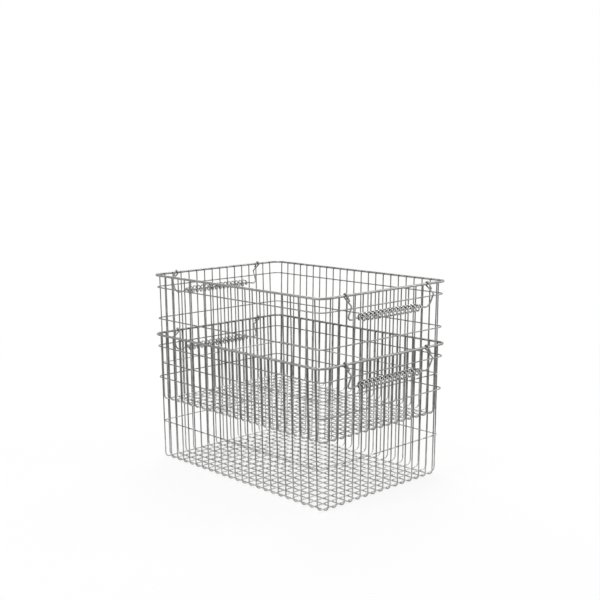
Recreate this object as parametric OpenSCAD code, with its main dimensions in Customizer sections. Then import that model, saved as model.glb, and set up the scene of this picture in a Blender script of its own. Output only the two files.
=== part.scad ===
// Wire locker basket, a nested pair of two equal baskets.
// Every basket is welded from U-shaped wires that run down one wall, across the
// floor and up the other wall. Three hoops and a thick rim rod tie the walls.
// A bail handle with a coiled grip hangs from the rim at each end.
// Millimetres, +Z up, +X along the length. The origin is the centre of the
// lower basket's base, on the ground.

/* [Mesh] */
// spacing of the wall stakes along the length
mesh_length = 15.0; // [13:0.5:18]
// spacing of the wall stakes across the width
mesh_width = 15.3; // [13.3:0.5:18.3]
// last long-side stake to the plane of the end wall
corner_length = 11.0; // [10.5:0.5:14]
// last end-wall stake to the plane of the long wall
corner_width = 17.4; // [14.4:0.5:20.4]
// rim rod's centre above the ground
rim_height = 193.0; // [170:1:240]
// bend from a wall into the floor, on the wire's centre line
floor_bend_r = 6.5; // [5:0.5:6.5]

/* [Wire] */
// wire of the walls and the floor
wire_d = 1.8; // [1.5:0.1:2.2]
// wire of the three hoops
hoop_d = 1.8; // [1.5:0.1:2.2]
// rod of the rim
rim_d = 3.4; // [3.0:0.1:4.0]
// play left at each weld between two crossing wires
weld_gap = 0.05; // [0.03:0.01:0.1]
// stake tips below the top of the rim rod
tip_drop = 0.3; // [0.2:0.1:1.0]
// a bend's wire is this much thicker than the straight runs that end in it
bend_swell = 0.04; // [0.03:0.01:0.06]
// length of a straight run inside the bend that it ends in
bend_lap = 0.2; // [0.1:0.05:0.2]

/* [Hoops] */
// first outer hoop, below the rim's centre
top_hoop_drop = 18.2; // [14:0.2:22]
// second outer hoop, below the rim's centre
middle_hoop_drop = 65.8; // [50:0.2:80]
// inner hoop, below the rim's centre
inner_hoop_drop = 134.3; // [110:0.1:150]
// bend radius at the corners of the inner hoop
inner_corner_r = 5.0; // [4:0.1:5.4]

/* [Nesting] */
// height of the upper basket above the lower one
nest_rise = 90.0; // [75:1:110]
// play between the walls of the two baskets
nest_gap = 0.3; // [0.3:0.1:1.0]

/* [Bail] */
// wire of the bail handles
bail_d = 2.2; // [2.0:0.1:2.6]
// play between a bail's eye and the rim rod
eye_play = 0.2; // [0.15:0.05:0.5]
// elbow of the arm, outwards from the rim's centre
elbow_out = 11.2; // [10:0.2:14]
// elbow of the arm, below the rim's centre
elbow_down = 12.8; // [11:0.2:15]
// grip's centre line, below the rim's centre
grip_down = 30.0; // [28:0.5:40]
// bend radius of the elbow
elbow_r = 3.0; // [2.5:0.5:4]
// the arm runs on past the grip's axis by this much, before it bends into the rod
corner_drop = 3.6; // [2:0.2:5]
// bend radius from the arm into the grip's rod
corner_r = 7.5; // [5:0.5:9]
// straight rod beyond each end of the coil, before it dips to the corner
seat_out = 2.4; // [2:0.2:4]
// bend radius where the rod dips
dip_r = 6.0; // [4:0.5:8]
// share of the arm that the eye's tail runs back along
tail_share = 0.6; // [0.5:0.05:0.7]
// play between the eye's tail and the arm
tail_play = 0.2; // [0.2:0.1:0.5]
// play between the resting grip and the wall stakes
rest_play = 0.3; // [0.3:0.1:1.0]

/* [Grip] */
// wire of the coiled grip
grip_wire_d = 2.2; // [1.8:0.1:2.4]
// length of the coiled grip, along the rod
grip_length = 124.7; // [112:0.5:128]
// centre-line radius of the grip's coils
grip_r = 4.95; // [4.8:0.05:6.5]
// play between the closed end coils and the rod
seat_play = 0.3; // [0.3:0.1:0.5]
// open gap between two closed end coils
end_gap = 0.8; // [0.6:0.1:1.2]

/* [Hidden] */
$fn = 32;
steel = [0.63, 0.64, 0.65];
bright_steel = [0.70, 0.71, 0.72];

// wires on each side of the middle one
cross_pairs = 11;
long_pairs = 7;
// a bail's eyes sit between two stakes, this many meshes from the middle
eye_mesh = 5.4;

half_x = cross_pairs * mesh_length + corner_length;
half_y = long_pairs * mesh_width + corner_width;
last_x = cross_pairs * mesh_length;

// the walls lean in by one wire for every nest_rise, so the baskets nest
lean = (wire_d + nest_gap) / nest_rise;
long_z = (wire_d + bend_swell) / 2;
cross_z = long_z + wire_d + weld_gap;
tip_z = rim_height + rim_d / 2 - tip_drop;
function wall_in(z) = (rim_height - z) * lean;
// the floor bends start beyond the last cross wire
bend_room = half_x - wall_in(long_z) - last_x;
floor_r = min(floor_bend_r, bend_room);

rim_off = (wire_d + rim_d) / 2 + weld_gap;
hoop_off = (wire_d + hoop_d) / 2 + weld_gap;
// a hoop's corner starts clear of the last stake it is welded to
corner_start = 0.1;

// bail, seen along the rim: x outwards and z up from the rim's centre
eye_y = eye_mesh * mesh_width;
eye_r = (rim_d + bail_d) / 2 + eye_play;
elbow = [elbow_out, 0, -elbow_down];
elbow_reach = norm(elbow);
strand_a = atan2(-elbow_down, elbow_out) - acos(eye_r / elbow_reach);
strand_start = eye_r * [cos(strand_a), 0, sin(strand_a)];
strand_len = norm(elbow - strand_start);
strand_dir = (elbow - strand_start) / strand_len;
tail_end_s = tail_share * strand_len;
tail_end_m = bail_d + tail_play;
tail_reach = norm([tail_end_s, tail_end_m - eye_r]);
tail_len = sqrt(pow(tail_reach, 2) - pow(eye_r, 2));
// three quarters of a turn, in degrees
three_quarters = 270;
wrap_turn = three_quarters - acos(eye_r / tail_reach) - atan2(tail_end_m - eye_r, tail_end_s);
grip_outer_r = grip_r + grip_wire_d / 2;
stake_face = wire_d / 2 - rim_off - grip_down * lean;
grip_out = stake_face + rest_play + grip_outer_r;
grip_axis = [grip_out, 0, -grip_down];
corner = grip_axis + unit(grip_axis - elbow) * corner_drop;
// one arm of the bail, on the side s, from its eye to the level rod
function arm(s) = [
    strand_start - strand_dir * bend_lap + [0, s * eye_y, 0],
    elbow + [0, s * eye_y, 0],
    corner + [0, s * eye_y, 0],
    grip_axis + [0, s * (grip_half + seat_out), 0]
];

// coiled grip, with its turns counted from each end
grip_half = grip_length / 2;
turns = 18;
// turns that lie closed on the rod, and turns that widen from these to the open coil
closed_turns = 1;
ramp_turns = 1;
rings_per_turn = 8;
sides = 6;
closed_pitch = grip_wire_d + end_gap;
closed_r = (bail_d + grip_wire_d) / 2 + seat_play;
end_turns = closed_turns + ramp_turns;
open_turns = turns / 2 - end_turns;
// the open pitch fills what the closed and the ramped turns leave over
ramp_share = open_turns + ramp_turns / 2;
open_pitch = (grip_half - closed_pitch * (closed_turns + ramp_turns / 2)) / ramp_share;

// share of the way through the ramp, after t turns from an end
function ramp(t) = max(0, min(1, (t - closed_turns) / ramp_turns));
function smooth(q) = q * q * (3 - 2 * q);
// length along the grip after t turns from an end
function run(t) =
    let (q = ramp(t), beyond = max(0, t - end_turns))
    closed_pitch * min(t, closed_turns)
    + ramp_turns * (closed_pitch * q + (open_pitch - closed_pitch) * q * q / 2)
    + open_pitch * beyond;
function coil_y(t) = t < turns / 2 ? run(t) - grip_half : grip_half - run(turns - t);
function coil_r(t) = closed_r + (grip_r - closed_r) * smooth(ramp(min(t, turns - t)));
// right-hand winding: each turn goes down its outer side as it goes along +Y
function around(t) = [cos(360 * t), 0, -sin(360 * t)];
function coil_point(t) = coil_r(t) * around(t) + [0, coil_y(t), 0];
small_turn = 0.001;
function coil_dir(t) =
    let (v = coil_point(t + small_turn) - coil_point(t - small_turn)) v / norm(v);
function outward(t) =
    let (d = coil_dir(t), r = around(t), v = r - d * (d * r)) v / norm(v);

coil_rings = turns * rings_per_turn;
// centre line: a straight end, every ring of the coil, and a straight end
centre_line = [
    for (i = [-1 : coil_rings + 1])
        let (k = max(0, min(coil_rings, i)), t = k / rings_per_turn)
            coil_point(t) + (i - k) * grip_wire_d * coil_dir(t)
];
tube_points = [
    for (i = [-1 : coil_rings + 1])
        let (k = max(0, min(coil_rings, i)), t = k / rings_per_turn)
            let (n = outward(t), b = cross(coil_dir(t), n))
                for (s = [0 : sides - 1])
                    centre_line[i + 1]
                    + grip_wire_d / 2 * (n * cos(360 * s / sides) + b * sin(360 * s / sides))
];
last_ring = coil_rings + 2;
function vertex(ring, s) = ring * sides + s % sides;
tube_faces = concat(
    [for (i = [0 : last_ring - 1], s = [0 : sides - 1])
        [vertex(i, s), vertex(i, s + 1), vertex(i + 1, s)]],
    [for (i = [0 : last_ring - 1], s = [0 : sides - 1])
        [vertex(i, s + 1), vertex(i + 1, s + 1), vertex(i + 1, s)]],
    [for (s = [1 : sides - 2]) [vertex(0, 0), vertex(0, s + 1), vertex(0, s)]],
    [for (s = [1 : sides - 2])
        [vertex(last_ring, 0), vertex(last_ring, s), vertex(last_ring, s + 1)]]
);
// least gap of the coil to itself, between points over half a turn apart
coil_gap = min([
    for (i = [0 : last_ring], j = [0 : last_ring])
        if (j - i > rings_per_turn / 2) norm(centre_line[i] - centre_line[j])
]) - grip_wire_d;
echo(coil_gap = coil_gap, open_pitch = open_pitch);

// straight round wire from a to b
module rod(a, b, d) {
    v = b - a;
    translate(a)
        rotate([0, acos(v[2] / norm(v)), atan2(v[1], v[0])])
            cylinder(h = norm(v), d = d);
}

// bent wire along an arc about c, from c + r * x towards the direction y
module arc(c, x, y, r, turn, d) {
    z = cross(x, y);
    multmatrix([
        [x[0], y[0], z[0], c[0]],
        [x[1], y[1], z[1], c[1]],
        [x[2], y[2], z[2], c[2]],
        [0, 0, 0, 1]
    ])
        rotate_extrude(angle = turn)
            translate([r, 0])
                circle(d = d + bend_swell);
}

function unit(v) = v / norm(v);
function turn_at(p, q, s) = acos(unit(q - p) * unit(s - q));
// length that rounding the corner q takes off each of its two straight runs
function cut_at(p, q, s, r) = r * tan(turn_at(p, q, s) / 2);
// widest rounding of the corner q that takes off no more than room
function widest_bend(p, q, s, room) = room / tan(turn_at(p, q, s) / 2);

// rounding of the corner q between p and s
module bend(p, q, s, r, d) {
    u = unit(q - p);
    w = unit(s - q);
    n = unit(w - u * (u * w));
    arc(q - u * cut_at(p, q, s, r) + n * r, -n, u, r, turn_at(p, q, s), d);
}

// wire through the points p, with bend radius r[i] at each inner point
module open_wire(p, r, d) {
    last = len(p) - 1;
    for (i = [0 : last - 1]) {
        u = unit(p[i + 1] - p[i]);
        from = i == 0 ? 0 : cut_at(p[i - 1], p[i], p[i + 1], r[i]) - bend_lap;
        to = i == last - 1 ? 0 : cut_at(p[i], p[i + 1], p[i + 2], r[i + 1]) - bend_lap;
        rod(p[i] + u * from, p[i + 1] - u * to, d);
    }
    for (i = [1 : last - 1])
        bend(p[i - 1], p[i], p[i + 1], r[i], d);
}

// level rectangular ring, half sizes x and y, at height z
module ring(x, y, z, r, d) {
    run_x = x - r + bend_lap;
    run_y = y - r + bend_lap;
    for (side = [-1, 1]) {
        rod([-run_x, side * y, z], [run_x, side * y, z], d);
        rod([side * x, -run_y, z], [side * x, run_y, z], d);
    }
    for (sx = [-1, 1], sy = [-1, 1])
        arc([sx * (x - r), sy * (y - r), z], [sx, 0, 0], [0, sy, 0], r, 90, d);
}

// U-shaped wire in the plane x = 0: wall, floor, wall
module cross_wire() {
    foot = half_y - wall_in(cross_z);
    tip = half_y - wall_in(tip_z);
    open_wire([[0, -tip, tip_z], [0, -foot, cross_z], [0, foot, cross_z], [0, tip, tip_z]],
        [0, floor_r, floor_r, 0], wire_d);
}

// U-shaped wire in the plane y = 0, lying under the cross wires
module long_wire() {
    foot = half_x - wall_in(long_z);
    tip = half_x - wall_in(tip_z);
    open_wire([[-tip, 0, tip_z], [-foot, 0, long_z], [foot, 0, long_z], [tip, 0, tip_z]],
        [0, floor_r, floor_r, 0], wire_d);
}

module cross_pair(k) {
    for (side = [-1, 1])
        translate([side * k * mesh_length, 0, 0]) cross_wire();
}

module long_pair(k) {
    for (side = [-1, 1])
        translate([0, side * k * mesh_width, 0]) long_wire();
}

// a corner's widest bend radius on a ring that reaches x along the length
function widest_corner(x) = x - last_x - corner_start;

module rim() {
    x = half_x + rim_off;
    ring(x, half_y + rim_off, rim_height, widest_corner(x), rim_d);
}

// hoop outside the stakes
module outer_hoop(drop) {
    x = half_x - drop * lean + hoop_off;
    y = half_y - drop * lean + hoop_off;
    ring(x, y, rim_height - drop, widest_corner(x), hoop_d);
}

// hoop inside the stakes
module inner_hoop() {
    x = half_x - inner_hoop_drop * lean - hoop_off;
    y = half_y - inner_hoop_drop * lean - hoop_off;
    ring(x, y, rim_height - inner_hoop_drop, min(inner_corner_r, widest_corner(x)), hoop_d);
}

// bail of one end, in its own frame: rim's centre at the origin, wall on the -x side
module bail() {
    p = arm(-1);
    q = arm(1);
    // the corner's bend stops short of the bend where the rod dips
    room = norm(p[3] - p[2]) - cut_at(p[2], p[3], q[3], dip_r) - bail_d / 2;
    bend_r = min(corner_r, widest_bend(p[1], p[2], p[3], room));
    open_wire([p[0], p[1], p[2], p[3], q[3], q[2], q[1], q[0]],
        [0, elbow_r, bend_r, dip_r, dip_r, bend_r, elbow_r, 0], bail_d);
    x = unit(strand_start);
    tail_start = eye_r * (x * cos(wrap_turn) - strand_dir * sin(wrap_turn));
    tail_dir = -x * sin(wrap_turn) - strand_dir * cos(wrap_turn);
    for (y = [-eye_y, eye_y]) {
        eye = [0, y, 0];
        arc(eye, x, -strand_dir, eye_r, wrap_turn, bail_d);
        rod(eye + tail_start - tail_dir * bend_lap, eye + tail_start + tail_dir * tail_len, bail_d);
    }
}

// coiled grip, on the bail's own frame
module grip() {
    translate(grip_axis)
        polyhedron(points = tube_points, faces = tube_faces, convexity = 20);
}

// to an end wall of a basket: side 1 is +X, side -1 is -X
module at_end(side) {
    translate([side * (half_x + rim_off), 0, rim_height])
        rotate([0, 0, side > 0 ? 0 : 180])
            children();
}

module upper() {
    translate([0, 0, nest_rise]) children();
}

// lower basket
module lower_cross_centre() color(steel) cross_wire();
module lower_cross_1() color(steel) cross_pair(1);
module lower_cross_2() color(steel) cross_pair(2);
module lower_cross_3() color(steel) cross_pair(3);
module lower_cross_4() color(steel) cross_pair(4);
module lower_cross_5() color(steel) cross_pair(5);
module lower_cross_6() color(steel) cross_pair(6);
module lower_cross_7() color(steel) cross_pair(7);
module lower_cross_8() color(steel) cross_pair(8);
module lower_cross_9() color(steel) cross_pair(9);
module lower_cross_10() color(steel) cross_pair(10);
module lower_cross_11() color(steel) cross_pair(11);
module lower_long_centre() color(steel) long_wire();
module lower_long_1() color(steel) long_pair(1);
module lower_long_2() color(steel) long_pair(2);
module lower_long_3() color(steel) long_pair(3);
module lower_long_4() color(steel) long_pair(4);
module lower_long_5() color(steel) long_pair(5);
module lower_long_6() color(steel) long_pair(6);
module lower_long_7() color(steel) long_pair(7);
module lower_rim() color(steel) rim();
module lower_hoop_top() color(steel) outer_hoop(top_hoop_drop);
module lower_hoop_middle() color(steel) outer_hoop(middle_hoop_drop);
module lower_hoop_inner() color(steel) inner_hoop();
module lower_bail_right() color(bright_steel) at_end(1) bail();
module lower_bail_left() color(bright_steel) at_end(-1) bail();
module lower_grip_right() color(bright_steel) at_end(1) grip();
module lower_grip_left() color(bright_steel) at_end(-1) grip();

// upper basket
module upper_cross_centre() color(steel) upper() cross_wire();
module upper_cross_1() color(steel) upper() cross_pair(1);
module upper_cross_2() color(steel) upper() cross_pair(2);
module upper_cross_3() color(steel) upper() cross_pair(3);
module upper_cross_4() color(steel) upper() cross_pair(4);
module upper_cross_5() color(steel) upper() cross_pair(5);
module upper_cross_6() color(steel) upper() cross_pair(6);
module upper_cross_7() color(steel) upper() cross_pair(7);
module upper_cross_8() color(steel) upper() cross_pair(8);
module upper_cross_9() color(steel) upper() cross_pair(9);
module upper_cross_10() color(steel) upper() cross_pair(10);
module upper_cross_11() color(steel) upper() cross_pair(11);
module upper_long_centre() color(steel) upper() long_wire();
module upper_long_1() color(steel) upper() long_pair(1);
module upper_long_2() color(steel) upper() long_pair(2);
module upper_long_3() color(steel) upper() long_pair(3);
module upper_long_4() color(steel) upper() long_pair(4);
module upper_long_5() color(steel) upper() long_pair(5);
module upper_long_6() color(steel) upper() long_pair(6);
module upper_long_7() color(steel) upper() long_pair(7);
module upper_rim() color(steel) upper() rim();
module upper_hoop_top() color(steel) upper() outer_hoop(top_hoop_drop);
module upper_hoop_middle() color(steel) upper() outer_hoop(middle_hoop_drop);
module upper_hoop_inner() color(steel) upper() inner_hoop();
module upper_bail_right() color(bright_steel) upper() at_end(1) bail();
module upper_bail_left() color(bright_steel) upper() at_end(-1) bail();
module upper_grip_right() color(bright_steel) upper() at_end(1) grip();
module upper_grip_left() color(bright_steel) upper() at_end(-1) grip();

lower_cross_centre();
lower_cross_1();
lower_cross_2();
lower_cross_3();
lower_cross_4();
lower_cross_5();
lower_cross_6();
lower_cross_7();
lower_cross_8();
lower_cross_9();
lower_cross_10();
lower_cross_11();
lower_long_centre();
lower_long_1();
lower_long_2();
lower_long_3();
lower_long_4();
lower_long_5();
lower_long_6();
lower_long_7();
lower_rim();
lower_hoop_top();
lower_hoop_middle();
lower_hoop_inner();
lower_bail_right();
lower_bail_left();
lower_grip_right();
lower_grip_left();
upper_cross_centre();
upper_cross_1();
upper_cross_2();
upper_cross_3();
upper_cross_4();
upper_cross_5();
upper_cross_6();
upper_cross_7();
upper_cross_8();
upper_cross_9();
upper_cross_10();
upper_cross_11();
upper_long_centre();
upper_long_1();
upper_long_2();
upper_long_3();
upper_long_4();
upper_long_5();
upper_long_6();
upper_long_7();
upper_rim();
upper_hoop_top();
upper_hoop_middle();
upper_hoop_inner();
upper_bail_right();
upper_bail_left();
upper_grip_right();
upper_grip_left();
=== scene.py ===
"""Looks of the wire locker basket pair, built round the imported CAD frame. Metres, +Z up."""
import math
import random

import bpy
from mathutils import Matrix, Vector


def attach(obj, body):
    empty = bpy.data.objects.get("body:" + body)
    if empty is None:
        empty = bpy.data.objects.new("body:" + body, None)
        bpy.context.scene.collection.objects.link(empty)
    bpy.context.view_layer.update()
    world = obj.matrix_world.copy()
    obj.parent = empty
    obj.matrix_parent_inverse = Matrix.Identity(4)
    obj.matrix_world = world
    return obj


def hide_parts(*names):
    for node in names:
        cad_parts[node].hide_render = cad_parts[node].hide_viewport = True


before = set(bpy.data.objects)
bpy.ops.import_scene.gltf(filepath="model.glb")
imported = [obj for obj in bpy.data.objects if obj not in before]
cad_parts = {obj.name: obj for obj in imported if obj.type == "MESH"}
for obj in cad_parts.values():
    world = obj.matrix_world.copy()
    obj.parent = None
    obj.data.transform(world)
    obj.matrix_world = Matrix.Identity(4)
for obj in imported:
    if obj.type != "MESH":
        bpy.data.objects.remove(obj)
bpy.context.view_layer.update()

X, Y, Z = Vector((1, 0, 0)), Vector((0, 1, 0)), Vector((0, 0, 1))

# Sizes of the baskets, as in the CAD source
MESH_X = 0.015              # spacing of the stakes along the length
MESH_Y = 0.0153             # spacing of the stakes across the width
CROSS_PAIRS = 11            # cross wires on each side of the middle one
LONG_PAIRS = 7              # long wires on each side of the middle one
END_SPACE_X = 0.011         # last long-side stake to the plane of the end wall
END_SPACE_Y = 0.0174        # last end-wall stake to the plane of the long wall
HALF_X = CROSS_PAIRS * MESH_X + END_SPACE_X
HALF_Y = LONG_PAIRS * MESH_Y + END_SPACE_Y
RIM_Z = 0.193               # centre of the rim rod
WIRE_R = 0.0009             # stakes and floor wires, which are one wire each
HOOP_R = 0.0009
RIM_R = 0.0017
WELD_GAP = 0.00005          # play at each weld between two crossing wires
TIP_DROP = 0.0003           # stake tips below the top of the rim rod
TIP_Z = RIM_Z + RIM_R - TIP_DROP
NEST_RISE = 0.090           # the upper basket above the lower one
NEST_GAP = 0.0003           # play between the walls of the two baskets
LEAN = (2 * WIRE_R + NEST_GAP) / NEST_RISE
BEND_SWELL = 0.00002        # a bend is this much thicker in radius
LONG_Z = WIRE_R + BEND_SWELL
CROSS_Z = LONG_Z + 2 * WIRE_R + WELD_GAP
FLOOR_BEND = 0.0065         # bend from a wall into the floor
RIM_OFF = WIRE_R + RIM_R + WELD_GAP
HOOP_OFF = WIRE_R + HOOP_R + WELD_GAP
CORNER_START = 0.0001       # a corner of the rim or a hoop starts this far past the last stake
INNER_BEND = 0.005          # corners of the inner hoop
# Each hoop's drop below the rim's centre, and 1 outside the stakes or -1 inside them
HOOPS = {"hoop_top": (0.0182, 1), "hoop_middle": (0.0658, 1), "hoop_inner": (0.1343, -1)}
BASES = {"lower": 0.0, "upper": NEST_RISE}

# Sizes of the handles, as in the CAD source apart from the coil's turns
BAIL_R = 0.0011
EYE_MESH = 5.4              # the eyes sit between two stakes, this many meshes from the middle
EYE_Y = EYE_MESH * MESH_Y
EYE_PLAY = 0.0002           # between an eye and the rim rod
EYE_R = RIM_R + BAIL_R + EYE_PLAY
TAIL_SHARE = 0.6            # share of the arm that the eye's tail runs back along
TAIL_PLAY = 0.0002          # between the tail and the arm
ELBOW = Vector((0.0112, 0.0, -0.0128))  # outwards and down from the rim's centre
ELBOW_BEND = 0.003
GRIP_DOWN = 0.030           # grip's centre line below the rim's centre
CORNER_DROP = 0.0036        # the arm runs on past the grip's axis by this much
CORNER_BEND = 0.0075        # from the arm into the grip's rod
DIP_BEND = 0.006            # where the rod dips to the corner
SEAT_OUT = 0.0024           # straight rod beyond each end of the coil
COIL_WIRE_R = 0.0011
COIL_R = 0.00495            # centre line of the coil's wire
REST_PLAY = 0.0003          # between the resting grip and the wall's stakes
GRIP_OUT = WIRE_R - RIM_OFF - GRIP_DOWN * LEAN + REST_PLAY + COIL_R + COIL_WIRE_R
GRIP_HALF = 0.06235         # half the coil's length
TURNS = 16                  # the photo's open turns; the CAD coil has one more closed on each end
FLARE_TURNS = 0.8           # each end starts on the rod and is at full width after this
SEAT_PLAY = 0.0003          # between the rod and the coil's ends
CLOSED_R = BAIL_R + COIL_WIRE_R + SEAT_PLAY
COIL_END = 2 * COIL_WIRE_R  # the wire runs straight on by this much at each end

# Fineness of the meshes
BEND_STEP = math.radians(8)
WIRE_SIDES = 14
RIM_SIDES = 20
BAIL_SIDES = 18
COIL_STEPS = 36             # points in one turn of the coil
WIRE_CHAMFER = 0.00025
BAIL_CHAMFER = 0.0003
COIL_CHAMFER = 0.0002

# Weld nuggets
NUGGET_R = 0.00085          # on the floor and the hoops
RIM_NUGGET_R = 0.00105
NUGGET_DEPTH = 0.00042      # half its height, across the joint
NUGGET_SPREAD = (0.9, 1.12)  # each nugget's shares of its radius, drawn at random
NUGGET_SIDES = 10
NUGGET_ROWS = 5


def wall_in(z):
    """How far a wall has leant in at this height, from its place at the rim's centre."""
    return (RIM_Z - z) * LEAN


def walls_at(drop):
    """Half the length and half the width between the walls, this far below the rim's centre."""
    return HALF_X - drop * LEAN, HALF_Y - drop * LEAN


def corner_bend(half_x):
    """The bend of a ring's corner that starts just past the last stake."""
    return half_x - CROSS_PAIRS * MESH_X - CORNER_START


# Wire meshes
def arc_points(centre, x_dir, y_dir, radius, turn):
    """Points of an arc that starts at centre + radius * x_dir and heads towards y_dir."""
    steps = max(2, math.ceil(turn / BEND_STEP))
    angles = [turn * i / steps for i in range(steps + 1)]
    return [centre + radius * (x_dir * math.cos(a) + y_dir * math.sin(a)) for a in angles]


def rounded_path(corners, radii, closed=False):
    """A path through the corners, each rounded with its own bend radius."""
    out = []
    n = len(corners)
    for i, corner in enumerate(corners):
        if not closed and i in (0, n - 1):
            out.append(corner.copy())
            continue
        before, after = corners[i - 1], corners[(i + 1) % n]
        u = (corner - before).normalized()
        w = (after - corner).normalized()
        turn = u.angle(w)
        normal = (w - u * u.dot(w)).normalized()
        start = corner - u * radii[i] * math.tan(turn / 2)
        out += arc_points(start + normal * radii[i], -normal, u, radii[i], turn)
    return out


def directions(points, closed):
    """The direction at each point: midway between its two segments, or an open end's one segment."""
    n = len(points)
    steps = [(points[(i + 1) % n] - points[i]).normalized() for i in range(n)]
    out = [(steps[i - 1] + steps[i]).normalized() for i in range(n)]
    if not closed:
        out[0], out[-1] = steps[0], steps[-2]
    return out


def tube(path, radius, start=Z, closed=False, sides=WIRE_SIDES, chamfer=WIRE_CHAMFER, outward=None):
    """Vertices, faces and UVs of a round wire along a path. UVs run in metres along and once round.

    At the first point the round begins on the side of start, and that side is carried on along the
    path. Where outward is given, outward(point) is that side at each point. Open ends are chamfered.
    """
    points = list(path)
    radii = [radius] * len(points)
    if not closed:
        first = (points[1] - points[0]).normalized()
        last = (points[-1] - points[-2]).normalized()
        points = ([points[0], points[0] + first * chamfer] + points[1:-1]
                  + [points[-1] - last * chamfer, points[-1]])
        radii = [radius - chamfer] + radii + [radius - chamfer]
    n = len(points)
    tangents = directions(points, closed)
    normal = start
    verts, lengths, along = [], [], 0.0
    for i, tangent in enumerate(tangents):
        if i > 0:
            normal = tangents[i - 1].rotation_difference(tangent) @ normal
            along += (points[i] - points[i - 1]).length
        if outward:
            normal = outward(points[i])
        normal = (normal - tangent * tangent.dot(normal)).normalized()
        side = tangent.cross(normal)
        lengths.append(along)
        for s in range(sides):
            a = 2 * math.pi * s / sides
            verts.append(points[i] + radii[i] * (normal * math.cos(a) + side * math.sin(a)))
    faces, uvs = [], []
    for i in range(n if closed else n - 1):
        j = (i + 1) % n
        u0 = lengths[i]
        u1 = u0 + (points[j] - points[i]).length
        for s in range(sides):
            k = (s + 1) % sides
            faces.append((i * sides + s, i * sides + k, j * sides + k, j * sides + s))
            v0, v1 = s / sides, (s + 1) / sides
            uvs += [(u0, v0), (u0, v1), (u1, v1), (u1, v0)]
    if not closed:
        faces.append(tuple(range(sides - 1, -1, -1)))
        faces.append(tuple(range((n - 1) * sides, n * sides)))
        uvs += [(0.0, s / sides) for s in range(sides)] * 2
    return verts, faces, uvs


def make_piece(name, parts, material):
    """One object from several (verts, faces, uvs) parts."""
    verts, faces, uvs = [], [], []
    for part_verts, part_faces, part_uvs in parts:
        first = len(verts)
        verts += [tuple(v) for v in part_verts]
        faces += [tuple(first + i for i in f) for f in part_faces]
        uvs += part_uvs
    mesh = bpy.data.meshes.new(name)
    mesh.from_pydata(verts, [], faces)
    layer = mesh.uv_layers.new(name="along")
    layer.data.foreach_set("uv", [c for uv in uvs for c in uv])
    mesh.shade_smooth()
    mesh.materials.append(material)
    mesh.validate()
    piece = bpy.data.objects.new(name, mesh)
    bpy.context.scene.collection.objects.link(piece)
    return piece


# Shader nodes
def feed(node, inputs):
    """Sets a node's sockets, each to a value or by a link from another node's output."""
    for socket, value in inputs.items():
        if isinstance(value, bpy.types.NodeSocket):
            node.id_data.links.new(value, node.inputs[socket])
        else:
            node.inputs[socket].default_value = value


def put(tree, kind, inputs):
    """A new node with its sockets set."""
    node = tree.nodes.new(kind)
    feed(node, inputs)
    return node


def calculate(tree, operation, *values):
    """The output of a Math node on numbers or other nodes' outputs."""
    node = tree.nodes.new("ShaderNodeMath")
    node.operation = operation
    feed(node, dict(enumerate(values)))
    return node.outputs[0]


def eased(tree, value, start, end, low, high):
    """An output that eases from low, where value is start, to high, where it is end."""
    node = put(tree, "ShaderNodeMapRange", {"Value": value, "From Min": start, "From Max": end,
                                            "To Min": low, "To Max": high})
    node.interpolation_type = "SMOOTHSTEP"
    return node.outputs["Result"]


# Materials
CLOUD_SCALE = 90.0          # of the clouds in the plating
LINE_SCALE = (120.0, 9.0, 1.0)  # of the drawn lines: for a metre along the wire, and once round it
LINE_SHARE = 0.45           # of the lines in the pattern, and the rest is clouds
DARK_AT, LIGHT_AT = 0.34, 0.66  # pattern values that have the dark and the light colour
DULL_AT, SHINY_AT = 0.3, 0.7  # pattern values that have the high and the low roughness
LINE_DEPTH = 0.00006
BUMP_STRENGTH = 0.25
# Painted light: each basket's wires are coloured lighter towards its foot, for the light that falls
# there.
FOOT_PAINTED_LIGHT = 2.8           # painted light: colour at a basket's foot, against that at its rim
PAINTED_LIGHT_FROM = 0.006         # above the foot, where the painted light starts to fade
PAINTED_LIGHT_TO = 0.115           # above the foot, where the painted light has gone and the colour is as at the rim
STAKE_PAINTED_LIGHT_TO = {"lower": 0.085, "upper": 0.115}  # the same for the stakes and floor wires
# Painted shade: the inner side of the coil's turns, where the turns shade each other, is coloured
# darker.
INNER_SHADE = 0.22                # painted shade: share of its colour that the coil's inner side has
INNER_SHADE_FROM = -0.7           # cosine of the turn from the outer side, where the painted shade is full
INNER_SHADE_TO = 0.3              # and where it ends


def painted_foot_light(tree, coords, fade):
    """Painted light: the share of its colour that a wire has, more below one height and 1 above another.
    """
    at = put(tree, "ShaderNodeSeparateXYZ", {0: coords.outputs["Object"]})
    return eased(tree, at.outputs["Z"], *fade, FOOT_PAINTED_LIGHT, 1.0)


def painted_inner_shade(tree, coords):
    """Painted shade: the share of its colour that a wire has, less half way round from where the round
    begins.
    """
    at = put(tree, "ShaderNodeSeparateXYZ", {0: coords.outputs["UV"]})
    angle = calculate(tree, "MULTIPLY", at.outputs["Y"], 2 * math.pi)
    return eased(tree, calculate(tree, "COSINE", angle), INNER_SHADE_FROM, INNER_SHADE_TO, INNER_SHADE, 1.0)


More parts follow.
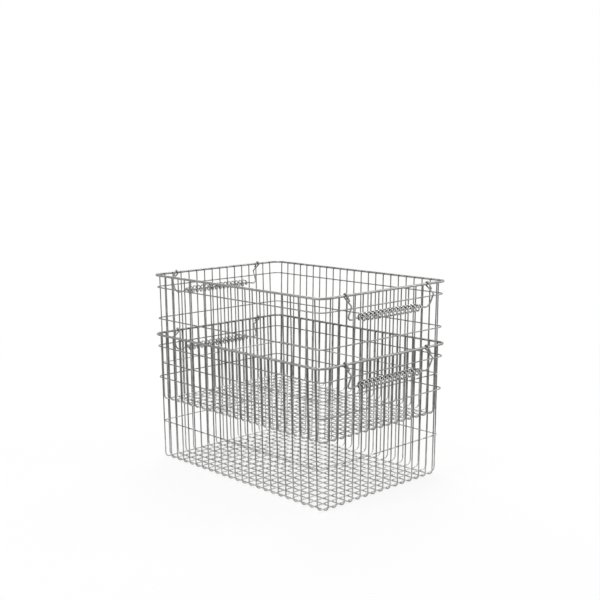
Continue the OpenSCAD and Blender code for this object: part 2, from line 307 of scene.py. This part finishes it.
def steel(name, dark, light, roughness, cloud_scale=CLOUD_SCALE, fade=None, inner_shaded=False):
    """Bright plated steel: drawn along the wire, a little clouded, with small dull marks.

    roughness is the lowest and the highest. fade, if given, is the two heights of the painted light
    that lightens the wires towards a basket's foot. With the last argument set, the wire is darkened
    instead by painted shade half way round from where its round begins.
    """
    material = bpy.data.materials.new(name)
    material.use_nodes = True
    tree = material.node_tree
    coords = tree.nodes.new("ShaderNodeTexCoord")
    clouds = put(tree, "ShaderNodeTexNoise", {"Vector": coords.outputs["Object"], "Scale": cloud_scale,
                                              "Detail": 4.0, "Roughness": 0.6})
    drawn = put(tree, "ShaderNodeMapping", {"Vector": coords.outputs["UV"], "Scale": LINE_SCALE})
    lines = put(tree, "ShaderNodeTexNoise", {"Vector": drawn.outputs["Vector"], "Scale": 1.0,
                                             "Detail": 5.0, "Roughness": 0.65})
    both = put(tree, "ShaderNodeMix", {0: LINE_SHARE, 2: clouds.outputs["Fac"], 3: lines.outputs["Fac"]})
    pattern = both.outputs[0]

    tone = put(tree, "ShaderNodeValToRGB", {"Fac": pattern})
    for stop, at, shade in zip(tone.color_ramp.elements, (DARK_AT, LIGHT_AT), (dark, light)):
        stop.position = at
        stop.color = (*shade, 1.0)
    colour = tone.outputs["Color"]
    # The colour is scaled by the painted light at a basket's foot, else by the painted shade on the
    # coil's inner side.
    if fade or inner_shaded:
        painted_shading = tree.nodes.new("ShaderNodeVectorMath")
        painted_shading.operation = "SCALE"
        share = painted_inner_shade(tree, coords) if inner_shaded else painted_foot_light(tree, coords, fade)
        feed(painted_shading, {0: colour, "Scale": share})
        colour = painted_shading.outputs["Vector"]

    low, high = roughness
    gloss = put(tree, "ShaderNodeMapRange", {"Value": pattern, "From Min": DULL_AT, "From Max": SHINY_AT,
                                             "To Min": high, "To Max": low})
    bump = put(tree, "ShaderNodeBump", {"Strength": BUMP_STRENGTH, "Distance": LINE_DEPTH,
                                        "Height": lines.outputs["Fac"]})
    feed(tree.nodes["Principled BSDF"], {"Metallic": 1.0, "Base Color": colour,
                                         "Roughness": gloss.outputs["Result"],
                                         "Normal": bump.outputs["Normal"]})
    return material


WIRE, HOOP, WELD = {}, {}, {}
for basket, base in BASES.items():
    # heights over which the painted light at each basket's foot gives way to the plain colour
    start, end = base + PAINTED_LIGHT_FROM, base + PAINTED_LIGHT_TO
    WIRE[basket] = steel(f"{basket}_plated_wire", (0.08, 0.08, 0.078), (0.22, 0.22, 0.215),
                         (0.20, 0.34), fade=(start, base + STAKE_PAINTED_LIGHT_TO[basket]))
    HOOP[basket] = steel(f"{basket}_plated_hoop", (0.12, 0.12, 0.117), (0.32, 0.32, 0.313),
                         (0.20, 0.34), fade=(start, end))
    WELD[basket] = steel(f"{basket}_weld_nugget", (0.06, 0.06, 0.058), (0.16, 0.16, 0.156),
                         (0.38, 0.55), cloud_scale=400.0, fade=(start, end))
ROD = steel("plated_rim_rod", (0.16, 0.16, 0.156), (0.34, 0.34, 0.332), (0.28, 0.42), cloud_scale=70.0)
BAIL = steel("plated_bail", (0.17, 0.17, 0.165), (0.36, 0.36, 0.352), (0.18, 0.32), cloud_scale=80.0)
# the coil's wire carries painted shade on the inner side of its turns
COIL = steel("coil_spring_wire", (0.27, 0.27, 0.265), (0.58, 0.58, 0.57), (0.08, 0.17),
             cloud_scale=110.0, inner_shaded=True)


# Baskets
def u_wire(across, place, along, half, low, base):
    """One wire down a wall, over the floor at height low and up the other wall.

    It lies at its place across, and runs along to half the basket's size on both sides.
    """
    bend = min(FLOOR_BEND, HALF_X - wall_in(LONG_Z) - CROSS_PAIRS * MESH_X)
    tip, foot = half - wall_in(TIP_Z), half - wall_in(low)
    outline = ((-tip, TIP_Z), (-foot, low), (foot, low), (tip, TIP_Z))
    corners = [across * place + along * out + Z * (z + base) for out, z in outline]
    return tube(rounded_path(corners, [0, bend, bend, 0]), WIRE_R, start=across)


def cross_wire(x, base):
    return u_wire(X, x, Y, HALF_Y, CROSS_Z, base)


def long_wire(y, base):
    return u_wire(Y, y, X, HALF_X, LONG_Z, base)


def ring(half_x, half_y, z, bend, radius, sides=WIRE_SIDES):
    """A closed rectangle of wire with round corners."""
    corners = [Vector((-half_x, -half_y, z)), Vector((half_x, -half_y, z)),
               Vector((half_x, half_y, z)), Vector((-half_x, half_y, z))]
    return tube(rounded_path(corners, [bend] * 4, closed=True), radius, closed=True, sides=sides)


def nugget(centre, a, b, size, seed):
    """The low bead of a weld between two wires that run along a and b and touch at its centre."""
    across = a.cross(b)
    sides = NUGGET_SIDES
    draw = random.Random(seed)
    size_a = size * draw.uniform(*NUGGET_SPREAD)
    size_b = size * draw.uniform(*NUGGET_SPREAD)
    verts = [centre + across * NUGGET_DEPTH]
    for r in range(1, NUGGET_ROWS):
        v = math.pi * r / NUGGET_ROWS
        for s in range(sides):
            u = 2 * math.pi * s / sides
            verts.append(centre + math.sin(v) * (a * size_a * math.cos(u) + b * size_b * math.sin(u))
                         + across * NUGGET_DEPTH * math.cos(v))
    verts.append(centre - across * NUGGET_DEPTH)
    last = len(verts) - 1
    faces = [(0, 1 + s, 1 + (s + 1) % sides) for s in range(sides)]
    for r in range(NUGGET_ROWS - 2):
        lo, hi = 1 + r * sides, 1 + (r + 1) * sides
        faces += [(lo + s, hi + s, hi + (s + 1) % sides, lo + (s + 1) % sides) for s in range(sides)]
    lo = last - sides
    faces += [(lo + s, last, lo + (s + 1) % sides) for s in range(sides)]
    uvs = [(0.0, 0.0)] * sum(len(f) for f in faces)
    return verts, faces, uvs


def weld_parts(base):
    """All welds of one basket: at each crossing of the floor, the rim and the hoops."""
    xs = [i * MESH_X for i in range(-CROSS_PAIRS, CROSS_PAIRS + 1)]
    ys = [j * MESH_Y for j in range(-LONG_PAIRS, LONG_PAIRS + 1)]
    spots = [(Vector((x, y, base + LONG_Z + WIRE_R)), X, Y, NUGGET_R) for x in xs for y in ys]
    levels = [(0.0, 1, RIM_NUGGET_R)] + [(drop, out, NUGGET_R) for drop, out in HOOPS.values()]
    for drop, out, size in levels:
        z = base + RIM_Z - drop
        wall_x, wall_y = walls_at(drop)
        for side in (-1, 1):
            spots += [(Vector((x, side * (wall_y + out * WIRE_R), z)), X, Z, size) for x in xs]
            spots += [(Vector((side * (wall_x + out * WIRE_R), y, z)), Y, Z, size) for y in ys]
    return [nugget(*spot, seed) for seed, spot in enumerate(spots)]


# Handles
def bail_part():
    """The bail in its own frame: rim's centre at the origin, wall on the -x side."""
    angle = math.atan2(ELBOW.z, ELBOW.x) - math.acos(EYE_R / ELBOW.length)
    start = EYE_R * Vector((math.cos(angle), 0, math.sin(angle)))
    strand = (ELBOW - start).normalized()
    tail_along = TAIL_SHARE * (ELBOW - start).length
    tail_beside = 2 * BAIL_R + TAIL_PLAY - EYE_R
    tail_reach = math.hypot(tail_along, tail_beside)
    tail_length = math.sqrt(tail_reach ** 2 - EYE_R ** 2)
    three_quarters = math.radians(270)
    wrap = three_quarters - math.acos(EYE_R / tail_reach) - math.atan2(tail_beside, tail_along)
    from_rim = start.normalized()
    eye = arc_points(Vector((0, 0, 0)), from_rim, -strand, EYE_R, wrap)
    tail = (-from_rim * math.sin(wrap) - strand * math.cos(wrap)).normalized()
    eye.append(eye[-1] + tail * tail_length)

    axis = Vector((GRIP_OUT, 0, -GRIP_DOWN))
    corner = axis + (axis - ELBOW).normalized() * CORNER_DROP
    arm = Vector((0, EYE_Y, 0))
    seat = Vector((0, GRIP_HALF + SEAT_OUT, 0))
    middle = rounded_path([start - arm, ELBOW - arm, corner - arm, axis - seat,
                           axis + seat, corner + arm, ELBOW + arm, start + arm],
                          [0, ELBOW_BEND, CORNER_BEND, DIP_BEND,
                           DIP_BEND, CORNER_BEND, ELBOW_BEND, 0])
    path = [p - arm for p in reversed(eye)] + middle[1:-1] + [p + arm for p in eye]
    return tube(path, BAIL_R, sides=BAIL_SIDES, chamfer=BAIL_CHAMFER)


def coil_point(t):
    """The coil's centre line after t turns, wound right-handed along +Y and widening at each end."""
    flare = min(1.0, min(t, TURNS - t) / FLARE_TURNS)
    radius = CLOSED_R + (COIL_R - CLOSED_R) * flare * flare * (3 - 2 * flare)
    angle = 2 * math.pi * t
    return Vector((radius * math.cos(angle), GRIP_HALF * (2 * t / TURNS - 1), -radius * math.sin(angle)))


def grip_part():
    """The coiled grip in the bail's frame. Its wire's round starts on the coil's outer side."""
    path = [coil_point(i / COIL_STEPS) for i in range(TURNS * COIL_STEPS + 1)]
    path = ([path[0] + (path[0] - path[1]).normalized() * COIL_END] + path
            + [path[-1] + (path[-1] - path[-2]).normalized() * COIL_END])
    at = Vector((GRIP_OUT, 0, -GRIP_DOWN))
    return tube([p + at for p in path], COIL_WIRE_R, chamfer=COIL_CHAMFER,
                outward=lambda p: Vector((p.x - at.x, 0, p.z - at.z)))


def placed(part, side, base):
    """A handle's part, moved to the end wall of a basket: side 1 is +X, side -1 is -X."""
    verts, faces, uvs = part
    at = Vector((side * (HALF_X + RIM_OFF), 0, RIM_Z + base))
    return [Vector((side * v.x, side * v.y, v.z)) + at for v in verts], faces, uvs


# Pieces
def add_piece(name, parts, material, body, node=None):
    """Makes a piece that rides on a body and stands for a CAD node, if one is given."""
    piece = make_piece(name, parts, material)
    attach(piece, body)
    if node:
        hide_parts(node)


def add_wires(basket, base, kind, pairs, mesh, wire):
    """The middle wire of a kind, and each pair at the same distance from it as one piece."""
    for k in range(pairs + 1):
        node = f"{basket}_{kind}_{k or 'centre'}"
        places = (-k * mesh, k * mesh) if k else (0.0,)
        parts = [wire(place, base) for place in places]
        add_piece(f"{node}_wire", parts, WIRE[basket], f"{basket}_basket", node)


def add_rings(basket, base):
    """The rim rod and the three hoops."""
    rim_x, rim_y = HALF_X + RIM_OFF, HALF_Y + RIM_OFF
    rod = ring(rim_x, rim_y, RIM_Z + base, corner_bend(rim_x), RIM_R, RIM_SIDES)
    add_piece(f"{basket}_rim_rod", [rod], ROD, f"{basket}_basket", f"{basket}_rim")
    for name, (drop, out) in HOOPS.items():
        wall_x, wall_y = walls_at(drop)
        x, y = wall_x + out * HOOP_OFF, wall_y + out * HOOP_OFF
        bend = corner_bend(x) if out > 0 else min(corner_bend(x), INNER_BEND)
        hoop = ring(x, y, RIM_Z - drop + base, bend, HOOP_R)
        add_piece(f"{basket}_{name}_wire", [hoop], HOOP[basket], f"{basket}_basket",
                  f"{basket}_{name}")


def add_handles(basket, base):
    """A bail and its coiled grip at each end."""
    for hand, side in (("right", 1), ("left", -1)):
        body = f"{basket}_handle_{hand}"
        bail, grip = placed(BAIL_PART, side, base), placed(GRIP_PART, side, base)
        add_piece(f"{basket}_bail_{hand}_wire", [bail], BAIL, body, f"{basket}_bail_{hand}")
        add_piece(f"{basket}_grip_{hand}_coil", [grip], COIL, body, f"{basket}_grip_{hand}")


BAIL_PART = bail_part()
GRIP_PART = grip_part()
for basket, base in BASES.items():
    add_wires(basket, base, "cross", CROSS_PAIRS, MESH_X, cross_wire)
    add_wires(basket, base, "long", LONG_PAIRS, MESH_Y, long_wire)
    add_rings(basket, base)
    add_piece(f"{basket}_welds", weld_parts(base), WELD[basket], f"{basket}_basket")
    add_handles(basket, base)


# Stage
WHITE = (1.0, 1.0, 1.0, 1.0)
SKY_LIGHT = 0.45
FLOOR_HALF = 6.0            # half a side of the floor
FLOOR_COLOUR = (0.93, 0.93, 0.93, 1.0)
FADE_FROM, FADE_TO = 0.3, 1.2  # distances from the middle between which the floor fades to white
NEAR_WHITE = 0.8            # share of plain white in the floor near the part, over its shadow
MIDDLE = Vector((0.0, 0.0, 0.14))  # the lamps point here


def white_to_lens(tree, lit, white, share=None):
    """A shader that is white for camera, glossy and transmission rays, and lit for all others.

    share is an output that says how white, from 0 to 1, and without it those rays see all white.
    """
    rays = tree.nodes.new("ShaderNodeLightPath").outputs
    seen = calculate(tree, "MAXIMUM", rays["Is Camera Ray"], rays["Is Glossy Ray"])
    seen = calculate(tree, "MAXIMUM", seen, rays["Is Transmission Ray"])
    if share is not None:
        seen = calculate(tree, "MULTIPLY", seen, share)
    mix = put(tree, "ShaderNodeMixShader", {"Fac": seen, 1: lit, 2: white})
    return mix.outputs[0]


def light_world(scene):
    """Even light from all sides, and a plain white background."""
    world = bpy.data.worlds.new("studio")
    scene.world = world
    world.use_nodes = True
    tree = world.node_tree
    sky = tree.nodes["Background"]
    feed(sky, {"Color": WHITE, "Strength": SKY_LIGHT})
    white = put(tree, "ShaderNodeBackground", {"Color": WHITE, "Strength": 1.0})
    surface = white_to_lens(tree, sky.outputs[0], white.outputs[0])
    feed(tree.nodes["World Output"], {"Surface": surface})


def floor_paint():
    """Pale paint that keeps the part's shadow near it and fades to plain white further out."""
    material = bpy.data.materials.new("pale_floor")
    material.use_nodes = True
    tree = material.node_tree
    paint = tree.nodes["Principled BSDF"]
    feed(paint, {"Base Color": FLOOR_COLOUR, "Roughness": 0.8, "Specular IOR Level": 0.1})
    glow = put(tree, "ShaderNodeEmission", {"Color": WHITE, "Strength": 1.0})
    coords = tree.nodes.new("ShaderNodeTexCoord")
    distance = put(tree, "ShaderNodeVectorMath", {0: coords.outputs["Object"]})
    distance.operation = "LENGTH"
    share = eased(tree, distance.outputs["Value"], FADE_FROM, FADE_TO, NEAR_WHITE, 1.0)
    surface = white_to_lens(tree, paint.outputs[0], glow.outputs[0], share)
    feed(tree.nodes["Material Output"], {"Surface": surface})
    return material


def lay_floor(scene):
    """One large square under the part."""
    mesh = bpy.data.meshes.new("floor")
    corners = [(side * FLOOR_HALF, end * FLOOR_HALF, 0)
               for side, end in ((-1, -1), (1, -1), (1, 1), (-1, 1))]
    mesh.from_pydata(corners, [], [(0, 1, 2, 3)])
    mesh.materials.append(floor_paint())
    floor = bpy.data.objects.new("floor", mesh)
    scene.collection.objects.link(floor)


def lamp(scene, name, at, size, power):
    """A rectangular lamp that points at the middle of the part."""
    light = bpy.data.lights.new(name, "AREA")
    light.shape = "RECTANGLE"
    light.size, light.size_y = size
    light.energy = power
    thing = bpy.data.objects.new(name, light)
    thing.location = at
    thing.rotation_euler = (MIDDLE - Vector(at)).to_track_quat("-Z", "Y").to_euler()
    scene.collection.objects.link(thing)


scene = bpy.context.scene
scene.view_settings.view_transform = "Standard"
light_world(scene)
lay_floor(scene)
lamp(scene, "top", (-0.8, 0.8, 1.7), (1.4, 1.4), 18.0)
lamp(scene, "key", (-0.5, -2.0, 0.55), (1.6, 0.9), 12.0)
lamp(scene, "end", (0.9, 1.25, 1.05), (0.9, 0.9), 7.0)
lamp(scene, "spark", (0.15, -0.45, 1.35), (0.35, 0.35), 4.2)


# Camera
YAW = math.radians(46.44)   # round the part, from its front long side towards +X
PITCH = math.radians(7.29)  # above the horizon
ROLL = math.radians(-0.24)
AIM = Vector((0.0, 0.0, RIM_Z + NEST_RISE))
DISTANCE = 1.4751           # of the camera from AIM
PICTURE = 600.0             # pixels on each side of the photo
FOCAL_LENGTH = 1007.7       # in those pixels
AIM_X, AIM_Y = 295.96, 277.69  # the pixel at which AIM is seen
SENSOR = 36.0               # millimetres
CLIP_START, CLIP_END = 0.05, 50.0


def set_camera(scene):
    """A camera where the photo was taken from, as nearly as one camera fits both baskets."""
    back = Vector((math.sin(YAW) * math.cos(PITCH), -math.cos(YAW) * math.cos(PITCH), math.sin(PITCH)))
    right = Vector((math.cos(YAW), math.sin(YAW), 0.0))
    up = back.cross(right)
    right_rolled = math.cos(ROLL) * right + math.sin(ROLL) * up
    up_rolled = -math.sin(ROLL) * right + math.cos(ROLL) * up
    data = bpy.data.cameras.new("camera")
    data.sensor_width = SENSOR
    data.lens = FOCAL_LENGTH * SENSOR / PICTURE
    data.shift_x = (PICTURE / 2 - AIM_X) / PICTURE
    data.shift_y = (AIM_Y - PICTURE / 2) / PICTURE
    data.clip_start, data.clip_end = CLIP_START, CLIP_END
    camera = bpy.data.objects.new("camera", data)
    turned = Matrix((right_rolled, up_rolled, back)).transposed().to_4x4()
    camera.matrix_world = Matrix.Translation(AIM + back * DISTANCE) @ turned
    scene.collection.objects.link(camera)
    scene.camera = camera


set_camera(scene)
